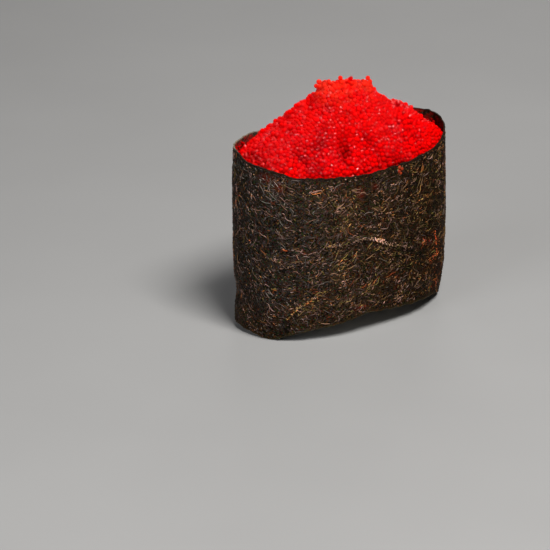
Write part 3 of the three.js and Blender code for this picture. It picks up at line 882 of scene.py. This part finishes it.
def spreadEggs(field, limit, spacing, fill, margin, rounds, rng):
    gx, gy = field.slopes()
    planX, planY = field.plan()
    inside = np.hypot(planX, planY) < atTurn(planX, planY, limit) - margin
    weight = np.where(inside, np.sqrt(1 + gx ** 2 + gy ** 2), 0).ravel()
    count = int(fill * weight.sum() * field.pitch ** 2 / (hexagonal * spacing ** 2))
    cells = rng.choice(weight.size, size=count, p=weight / weight.sum())
    x = planX.ravel()[cells] + (rng.random(count) - 0.5) * field.pitch
    y = planY.ravel()[cells] + (rng.random(count) - 0.5) * field.pitch
    x, y = keepInside(x, y, limit, margin)
    wide = spacing * 1.06
    for _ in range(rounds):
        order = np.argsort(x)
        x, y = x[order], y[order]
        p = np.stack([x, y, field.topAt(x, y)], 1)
        push = np.zeros_like(p)
        for first in range(0, count, 128):
            last = min(first + 128, count)
            low = np.searchsorted(x, x[first] - wide)
            high = np.searchsorted(x, x[last - 1] + wide)
            delta = p[first:last, None, :] - p[None, low:high, :]
            gap = np.sqrt((delta ** 2).sum(2)) + tiny
            close = np.where((gap < wide) & (gap > 10 * tiny), (wide - gap) / gap, 0)
            push[first:last] = (delta * close[:, :, None]).sum(1)
        length = np.linalg.norm(push, axis=1)
        push *= (np.minimum(length, 0.5 * spacing) / np.maximum(length, tiny ** 2))[:, None] * 0.45
        sx, sy = field.read(gx, x, y), field.read(gy, x, y)
        rise = (push[:, 2] - push[:, 0] * sx - push[:, 1] * sy) / (1 + sx ** 2 + sy ** 2)
        x, y = keepInside(x + push[:, 0] + rise * sx, y + push[:, 1] + rise * sy, limit, margin)
    return np.stack([x, y, field.topAt(x, y)], 1), field.normals(x, y)


def eggShape():
    ball = bpy.ops.mesh.primitive_ico_sphere_add
    return shapeOf(addPrimitive("eggPattern", ball, subdivisions=2, radius=0.5))


def joinEggs(name, shape, middles, sizes, tones, rng):
    pattern, faces = shape
    count = len(middles)
    turns = np.linalg.qr(rng.normal(size=(count, 3, 3)))[0]
    turns *= np.sign(np.linalg.det(turns))[:, None, None]
    stretch = 1 + rng.normal(0, 0.035, (count, 1, 3))
    eggs = np.einsum("nij,nkj->nki", turns, pattern[None] * stretch) * sizes[:, None, None]
    freeTop = smoothStep(eggs[:, :, 2] / sizes[:, None] * 2, 0.1, 0.5)  # the side that lies open
    eggs += middles[:, None, :]
    piece = joinCopies(name, eggs, faces, count)
    gloss = np.random.default_rng(count).random(count) ** 3.0
    gloss *= np.clip(tones * 2.2, 0.1, 1) * np.clip(2.1 - 1.6 * tones, 0.3, 1)
    paintPoints(piece.data, "tone", np.repeat(tones, len(pattern)))
    paintPoints(piece.data, "gloss", (gloss[:, None] * freeTop).ravel())
    print(name + ":", count, "eggs,", len(piece.data.polygons), "faces")
    return piece


def overhang(field, limit, wrap, floor, parts=180):  # how far the heap stands over the rim at the wall
    turns, reach = limit
    p = pointsOf(wrap.data)
    p = p[p[:, 2] > floor]
    bins = ((np.arctan2(p[:, 1], p[:, 0]) + np.pi) / (2 * np.pi) * parts).astype(int) % parts
    rim = np.full(parts, floor)
    np.maximum.at(rim, bins, p[:, 2])
    rimTurns = (np.arange(parts) + 0.5) / parts * 2 * np.pi - np.pi
    near = reach - 0.4 * mm
    beside = field.topAt(np.cos(turns) * near, np.sin(turns) * near)
    return turns, np.maximum(beside - np.interp(turns, rimTurns, rim, period=2 * np.pi), 0)


def shapeHeap(field, limit, look, wrap):  # lays clumps, hollows and lumps on the heap; returns the painted shade for its eggs
    planX, planY = field.plan()
    plan = np.stack([planX.ravel(), planY.ravel(), np.zeros(planX.size)], 1)
    clumps = cloudAt(plan, look["clumpSize"], 11.0) + 0.6 * cloudAt(plan, look["clumpSize"] * 0.5, 17.0)
    wall = atTurn(planX, planY, limit) - np.hypot(planX, planY)
    away = smoothStep(wall, 0.3 * mm, 3 * mm)
    field.heights = field.heights + look["clumpHeight"] * clumps.reshape(planX.shape) * away
    shoulder = atTurn(planX, planY, overhang(field, limit, wrap, look["floor"]))
    field.heights = field.heights - shoulder * np.exp(-np.maximum(wall, 0) / (1.3 * mm))
    # Painted shade: the eggs are darker near the wall.
    paintedShade = 0.30 * np.exp(-np.maximum(wall, 0) / (1.4 * mm))
    # Painted shade in each hollow; a negative value paints light instead.
    for x0, y0, x1, y1, reach, depth, dark in hollows:
        near = np.exp(-(nearLine(planX / mm, planY / mm, [(x0, y0), (x1, y1)]) / reach) ** 2)
        field.heights = field.heights - depth * mm * near * (0.4 + 0.6 * away)
        paintedShade = np.maximum(paintedShade, dark * near) if dark > 0 else paintedShade + dark * near
    # Painted shade where the heap lies below its broad shape, painted light where it stands above it.
    broad = blurBoth(field.heights, 4.5, 4.5)
    return paintedShade + 0.30 * np.clip((broad - field.heights) / (0.5 * mm), -1, 1)


def pileKnobs(field, look, rng):  # the middles of loose eggs piled on the crest
    egg = look["egg"]
    middles = []
    for x, y, high in knobs:
        x, y = x * mm, y * mm
        top = field.topAt(np.array([x]), np.array([y]))[0]
        for k in range(3):
            turn = rng.uniform(0, 0.5) + k * 2.1
            side = 0.52 * egg
            middles.append((x + side * math.cos(turn), y + side * math.sin(turn), top + 0.02 * egg))
        if high > 1:
            middles.append((x, y, top + 0.84 * egg))
    return np.array(middles)


# Eggs left sticking to the wrap's inside at its two ends: from, to and how many, in mm.
wallLook = {
    "ends": [(-50, -29, 190), (27, 47, 330)],
    "up": (34, 40),
    "size": (0.3, 0.85),
    "tone": (0.24, 0.20),
    "kept": 0.85,
    "above": (-0.3 * mm, 3.2 * mm),
}


def wallEggs(look, field, sheet, rng):
    along = np.concatenate([rng.uniform(*end) for end in look["ends"]])
    up = rng.uniform(*look["up"], len(along))
    middles, normals, share = sheet.at(along, up)
    sizes = rng.uniform(*look["size"], len(along)) * mm
    middles = middles - normals * (0.3 * mm + 0.32 * sizes)[:, None]
    above = middles[:, 2] - field.topAt(middles[:, 0], middles[:, 1])
    low, high = look["above"]
    kept = (share < 0.985) & (above > low) & (above < high) & (rng.random(len(along)) < look["kept"])
    tones = np.clip(rng.normal(*look["tone"], len(along)), 0, 0.7)
    return middles[kept], sizes[kept], tones[kept]


# How bright the eggs are, from 0 to 1, with painted light: brighter higher up and on the right half, up to
# the ramp's orange top on the crest.
roeTone = {
    "even": 0.54,
    "right": 0.06,
    "low": 36 * mm,           # the height from which they get brighter, and over how much
    "rise": 14 * mm,
    "high": 0.16,
    "highest": 0.20,
    "ends": (16.5 * mm, 21.5 * mm),
    "crest": (0.70, 0.95),    # as a share of the rise
    "crestLess": 0.12,
    "spread": (0.07, 0.16, 0.14),   # everywhere, more at the ends, more on the crest
    "most": (0.84, 0.16),     # everywhere, more on the crest
}


def eggTones(tone, middles, paintedShade, rng):
    x, _, height = middles.T
    level = np.clip((height - tone["low"]) / tone["rise"], 0, 1)
    # Painted light: brighter on the right half and higher up; the painted shade is taken off.
    tones = tone["even"] + tone["right"] * smoothStep(x, -10 * mm, 0)
    tones = tones + tone["high"] * level + tone["highest"] * level ** 4 - paintedShade
    ends = smoothStep(np.abs(x), *tone["ends"])
    crest = smoothStep(level, *tone["crest"])
    spread = tone["spread"][0] + tone["spread"][1] * ends + tone["spread"][2] * crest
    tones = tones - tone["crestLess"] * crest + rng.normal(0, 1, len(middles)) * spread
    # On the crest the tones may reach the ramp's orange top: a painted glow.
    return np.clip(tones, 0, tone["most"][0] + tone["most"][1] * crest)


def makeRoe(look, wrap, sheet):
    rng = np.random.default_rng(41)
    field = HeapField(look["floor"])
    limit = innerReach(wrap, field, look["wallLevel"])
    paintedShade = shapeHeap(field, limit, look, wrap)
    shape = eggShape()

    spacing = look["spacing"]
    middles, normal = spreadEggs(field, limit, spacing, look["fill"], look["margin"], look["rounds"], rng)
    count = len(middles)
    raised = rng.random(count) < look["raisedShare"]
    lift = np.where(raised, look["raise"] * (0.5 + rng.random(count)), 0) + rng.normal(0, 0.05 * mm, count)
    middles = middles + normal * (lift - look["sink"])[:, None]
    loose = pileKnobs(field, look, rng)
    middles = np.concatenate([middles, loose])
    count, piled = len(middles), len(loose)
    sizes = look["egg"] * np.clip(rng.normal(1.0, look["jitter"], count), 0.75, 1.2)
    sizes[-piled:] *= look["loose"]
    tones = eggTones(roeTone, middles, field.read(paintedShade, middles[:, 0], middles[:, 1]), rng)
    stuck = wallEggs(wallLook, field, sheet, rng)
    middles, sizes, tones = (np.concatenate(pair) for pair in zip((middles, sizes, tones), stuck))
    left = middles[:, 0] < 0
    pieces = []
    for name, side in (("roeLeft", left), ("roeRight", ~left)):
        pieces.append(joinEggs(name, shape, middles[side], sizes[side], tones[side], rng))

    spacing = spacing * look["beddingSpacing"]
    margin, rounds = look["beddingMargin"], look["beddingRounds"]
    middles, normal = spreadEggs(field, limit, spacing, 1.0, margin, rounds, rng)
    middles = middles - normal * (look["sink"] + look["bedding"])
    count = len(middles)
    sizes = look["egg"] * np.clip(rng.normal(look["beddingSize"], look["beddingJitter"], count), 0.9, 1.2)
    tones = np.clip(rng.normal(0.52, 0.06, count), 0, 1)
    pieces.append(joinEggs("roeBedding", shape, middles, sizes, tones, rng))
    pieces.append(makeGel(field, limit, look))
    return pieces


# Eggs that dropped on the sheet's outside: along, up, size in mm, and tone.
strayEggs = [
    (4.5, 34.4, 0.95, 0.9), (5.2, 34.0, 0.85, 0.8), (4.4, 33.5, 0.9, 0.7), (4.9, 33.1, 0.7, 0.9),
    (-5.8, 6.3, 0.5, 0.3), (-5.2, 6.5, 0.4, 0.2), (-4.5, 6.3, 0.4, 0.4), (-25.2, 35.4, 0.4, 0.05),
    (-23.0, 34.2, 0.4, 0.1), (-5.5, 30.8, 0.5, 0.05), (-1.7, 31.8, 0.4, 0.1), (13.9, 15.8, 0.4, 0.2),
    (-22.3, 33.7, 0.3, 0.1), (-5.2, 31.5, 0.4, 0.1),
]


def makeStrays(sheet):
    rng = np.random.default_rng(5)
    along, up, sizes, tones = np.transpose(strayEggs)
    middles, normals, _ = sheet.at(along, up)
    sizes = sizes * mm
    middles = middles - normals * (sizes * 0.18)[:, None]
    return joinEggs("roeStray", eggShape(), middles, sizes, tones, rng)


def strayMaterial():
    r = Recipe("roeDried")
    grit = r.cloud(r.objectPlace(), 0.25 * mm, 2.0)
    stops = [(0.0, (0.08, 0.006, 0.003)), (0.5, (0.20, 0.015, 0.005)), (1.0, (0.36, 0.036, 0.004))]
    colour = r.ramp(r.attribute("tone"), stops)
    colour = r.mix(grit.within(0.5, 0.75) * 0.5, colour, (0.08, 0.012, 0.004))
    normal = r.bump(grit, 0.05 * mm, 0.5)
    return r.finish(colour, 0.35 + grit * 0.2, normal, {"IOR": 1.3, "Specular IOR Level": 0.3})


def makeGel(field, limit, look):  # the body under the eggs: a squashed ball, its top laid to the heap
    gel = addBall("roeGel", 144, 72)
    p = pointsOf(gel.data)
    polar = np.arccos(np.clip(p[:, 2], -1, 1))
    turn = np.arctan2(p[:, 1], p[:, 0])
    turns, reach = limit
    wall = np.interp(turn, turns, reach, period=2 * np.pi) - 0.45 * mm
    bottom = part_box("roe_heap")[0].z + 0.1 * mm
    share = np.clip(polar / (math.pi / 2), 0, 1)
    r = wall * np.where(share < 1, share, np.clip((math.pi - polar) / math.radians(45), 0, 1))
    x, y = r * np.cos(turn), r * np.sin(turn)
    top = field.topAt(x, y) - look["sink"] - look["gelUnder"]
    top = top - look["gelEdge"] * smoothStep(share, 0.9, 1)
    side = np.clip((polar - math.pi / 2) / math.radians(45), 0, 1)
    setPoints(gel.data, np.stack([x, y, top + (bottom - top) * side], 1))
    selectOnly(gel)
    bpy.ops.object.shade_smooth()
    print("roe gel:", len(gel.data.polygons), "faces")
    return gel


def roeMaterial():
    r = Recipe("roeEggs")
    # The ramp turns orange at its top, a painted glow of the back-lit crest; its darker stops also carry
    # the painted shade.
    stops = [(0.0, (0.24, 0.0002, 0.0003)), (0.35, (0.44, 0.0004, 0.0005)), (0.65, (0.66, 0.0004, 0.0005)),
             (0.85, (0.80, 0.0008, 0.0006)), (1.0, (0.90, 0.0120, 0.0040))]
    colour = r.ramp(r.attribute("tone"), stops)
    skin = r.cloud(r.objectPlace(), 0.3 * mm, 1.0)
    return r.finish(colour, 0.2 + skin * 0.1, r.bump(skin, 0.004 * mm, 0.3), {
        "Coat Weight": r.attribute("gloss"),
        "Coat Roughness": 0.03,
        "Coat IOR": 1.9,
        "Subsurface Weight": 1.0,
        "Subsurface Radius": (1.0, 0.10, 0.07),
        "Subsurface Scale": 1.5 * mm,
        "IOR": 1.25,
        "Specular IOR Level": 0.0,
    })


def gelMaterial():
    r = Recipe("roeGelRed")
    depth = r.cloud(r.objectPlace(), 0.9 * mm, 2.0)
    colour = r.mix(depth, (0.40, 0.0004, 0.0006), (0.60, 0.0006, 0.0008))
    normal = r.bump(depth, 0.05 * mm, 0.5)
    return r.finish(colour, 0.5 + depth * 0.2, normal, {"Specular IOR Level": 0.05})


riceLook = {
    "top": 23.0 * mm,
    "underside": 4.9 * mm,
    "wallGap": 0.45 * mm,
    "lumps": 0.35 * mm,
    "lumpSize": 2.4 * mm,
    "grain": (5.6 * mm, 2.5 * mm, 2.2 * mm),
    "grains": 150,
    "grainSizes": (0.86, 1.08),
    "grainGap": 2.1 * mm,
    "grainMargin": 1.3 * mm,
    "grainSunk": 0.15 * mm,
    "spread": (21, 11),       # how far out grains are tried, in mm
    "tip": 0.12,              # radians by which a grain's end leans up or down
    "tipTaper": 0.25,
    "grainBow": 0.10,
    "aboveFoot": 7 * mm,      # the lowest height at which the wall goes all round
    "tries": 20000,
}


def grainShape(look):
    grain = addBall("grainPattern", 10, 8, 0.5)
    inEditMode(grain, bpy.ops.mesh.quads_convert_to_tris)
    p, faces = shapeOf(grain)
    p = np.stack([p[:, 2], p[:, 0], p[:, 1]], 1)
    p[:, 1] *= 1 - look["tipTaper"] * (p[:, 0] * 2) ** 4
    p[:, 2] += look["grainBow"] * (p[:, 0] * 2) ** 2
    return p * np.array(look["grain"]), faces


def makeRice(look, wrap):
    rng = np.random.default_rng(7)
    tree = surfaceOf(wrap.data)

    def reachAt(turn, height):
        return wallAt(tree, turn, height) - look["wallGap"]

    core = addBall("riceCore", 96, 40)
    p = pointsOf(core.data)
    out = np.zeros_like(p)
    for k, point in enumerate(p):
        turn = math.atan2(point[1], point[0])
        up = math.asin(max(-1, min(1, point[2]))) / (math.pi / 2)
        flat = max(0.0, 1 - abs(up)) * 2
        level = look["underside"] if up < 0 else look["top"]
        middle = (look["underside"] + look["top"]) / 2
        height = middle + (level - middle) * min(1.0, abs(up) * 2)
        reach = reachAt(turn, max(height, look["aboveFoot"])) * min(1.0, flat)
        out[k] = (math.cos(turn) * reach, math.sin(turn) * reach, height)
    out[:, 2] += look["lumps"] * cloudAt(out, look["lumpSize"], 2.0)
    setPoints(core.data, out)
    selectOnly(core)
    bpy.ops.object.shade_smooth()

    pattern, faces = grainShape(look)
    tries = 0
    places = []
    while len(places) < look["grains"] and tries < look["tries"]:
        tries += 1
        x, y = (rng.uniform(-far, far) * mm for far in look["spread"])
        turn = rng.uniform(0, 2 * np.pi)
        half = look["grain"][0] / 2
        tips = [(x + side * half * math.cos(turn), y + side * half * math.sin(turn)) for side in (-1, 0, 1)]
        reaches = [reachAt(math.atan2(b, a), look["aboveFoot"]) - look["grainMargin"] for a, b in tips]
        if any(math.hypot(*tip) > reach for tip, reach in zip(tips, reaches)):
            continue
        if any(math.hypot(x - place[0], y - place[1]) < look["grainGap"] for place in places):
            continue
        places.append((x, y, turn))
    grains = []
    for x, y, turn in places:
        tip = rng.normal(0, look["tip"])
        c, s = math.cos(turn), math.sin(turn)
        spin = np.array([[c, -s, 0], [s, c, 0], [0, 0, 1]])
        lean = np.array([[math.cos(tip), 0, -math.sin(tip)], [0, 1, 0], [math.sin(tip), 0, math.cos(tip)]])
        size = rng.uniform(*look["grainSizes"])
        middle = np.array([x, y, look["underside"] + look["grainSunk"]])
        grains.append((pattern * size) @ (spin @ lean).T + middle)
    piece = joinCopies("riceGrains", np.concatenate(grains), faces, len(grains))
    print("rice:", len(grains), "grains,", len(piece.data.polygons), "faces")
    return [core, piece]


def riceMaterial():
    r = Recipe("rice")
    place = r.objectPlace()
    starch = r.cloud(place, 1.4 * mm, 2.0)
    colour = r.mix(starch, (0.70, 0.66, 0.57), (0.86, 0.84, 0.78))
    normal = r.bump(r.cloud(place, 0.5 * mm, 2.0), 0.03 * mm, 0.5)
    return r.finish(colour, 0.38 + starch * 0.2, normal, {
        "Subsurface Weight": 0.25,
        "Subsurface Radius": (1.0, 0.85, 0.7),
        "Subsurface Scale": 0.8 * mm,
    })


studio = {
    "place": (-414.7 * mm, -530.0 * mm, 275.9 * mm),
    "aim": (-24.34 * mm, -9.87 * mm, 16.57 * mm),
    "roll": -0.41,            # degrees
    "lens": 226.35,
    "sensor": 36,
    "nearest": 0.01,
    "floorSize": 4.0,
    "world": (0.03, 0.03, 0.032),
    "boxSize": 0.26,
    "lit": (0, 0, 25 * mm),   # the point that the lights face
}

# The lights: name, place, power and tint.
softboxes = [
    ("keyBox", (-0.06, -0.36, 0.62), 7.5, (1.0, 0.98, 0.95)),
    ("backBox", (0.46, 0.52, 0.14), 0.7, (1.0, 0.98, 0.96)),
    ("sideBox", (-0.66, -0.10, 0.30), 1.6, (0.97, 0.98, 1.0)),
]


def makeFloor(look):
    floor = addPrimitive("floor", bpy.ops.mesh.primitive_plane_add, size=look["floorSize"])
    r = Recipe("paleFloor")
    dust = r.cloud(r.objectPlace(), 0.05, 2.0)
    colour = r.mix(dust, (0.28, 0.28, 0.28), (0.31, 0.31, 0.31))
    giveMaterial(floor, r.finish(colour, 0.7, others={"Specular IOR Level": 0.2}))


def makeLights(boxes, look):
    for name, place, power, tint in boxes:
        light = bpy.data.lights.new(name, "AREA")
        light.shape = "SQUARE"
        light.size = look["boxSize"]
        light.energy = power
        light.color = tint
        lamp = placeObject(name, light)
        lamp.location = place
        turnTo(lamp, look["lit"])
    world = bpy.data.worlds.new("studioAir")
    world.use_nodes = True
    world.node_tree.nodes["Background"].inputs["Color"].default_value = (*look["world"], 1)
    bpy.context.scene.world = world


def makeCamera(look):
    lens = bpy.data.cameras.new("camera")
    lens.lens = look["lens"]
    lens.sensor_width = look["sensor"]
    lens.clip_start = look["nearest"]
    camera = placeObject("camera", lens)
    camera.location = look["place"]
    turnTo(camera, look["aim"], math.radians(look["roll"]))
    bpy.context.scene.camera = camera


makeFloor(studio)
makeLights(softboxes, studio)
makeCamera(studio)
bpy.context.scene.view_settings.view_transform = "Standard"

noriWrap, noriSheet = makeWrap(wrapLook)
giveMaterial(noriWrap, noriMaterial())
fibreFinish = fibreMaterial()
noriPieces = [noriWrap]
for fibres in fibreLooks:
    noriPieces.append(makeFibres(fibres, noriSheet))
    giveMaterial(noriPieces[-1], fibreFinish)
for piece in noriPieces:
    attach(piece, "root")
    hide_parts("nori_band")

eggRed = roeMaterial()
heapLooks = {"roeGel": gelMaterial(), "roeStray": strayMaterial()}
for piece in makeRoe(roeLook, noriWrap, noriSheet) + [makeStrays(noriSheet)]:
    giveMaterial(piece, heapLooks.get(piece.name, eggRed))
    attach(piece, "root")
    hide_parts("roe_heap")

riceWhite = riceMaterial()
for piece in makeRice(riceLook, noriWrap):
    giveMaterial(piece, riceWhite)
    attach(piece, "root")
    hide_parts("rice_core")
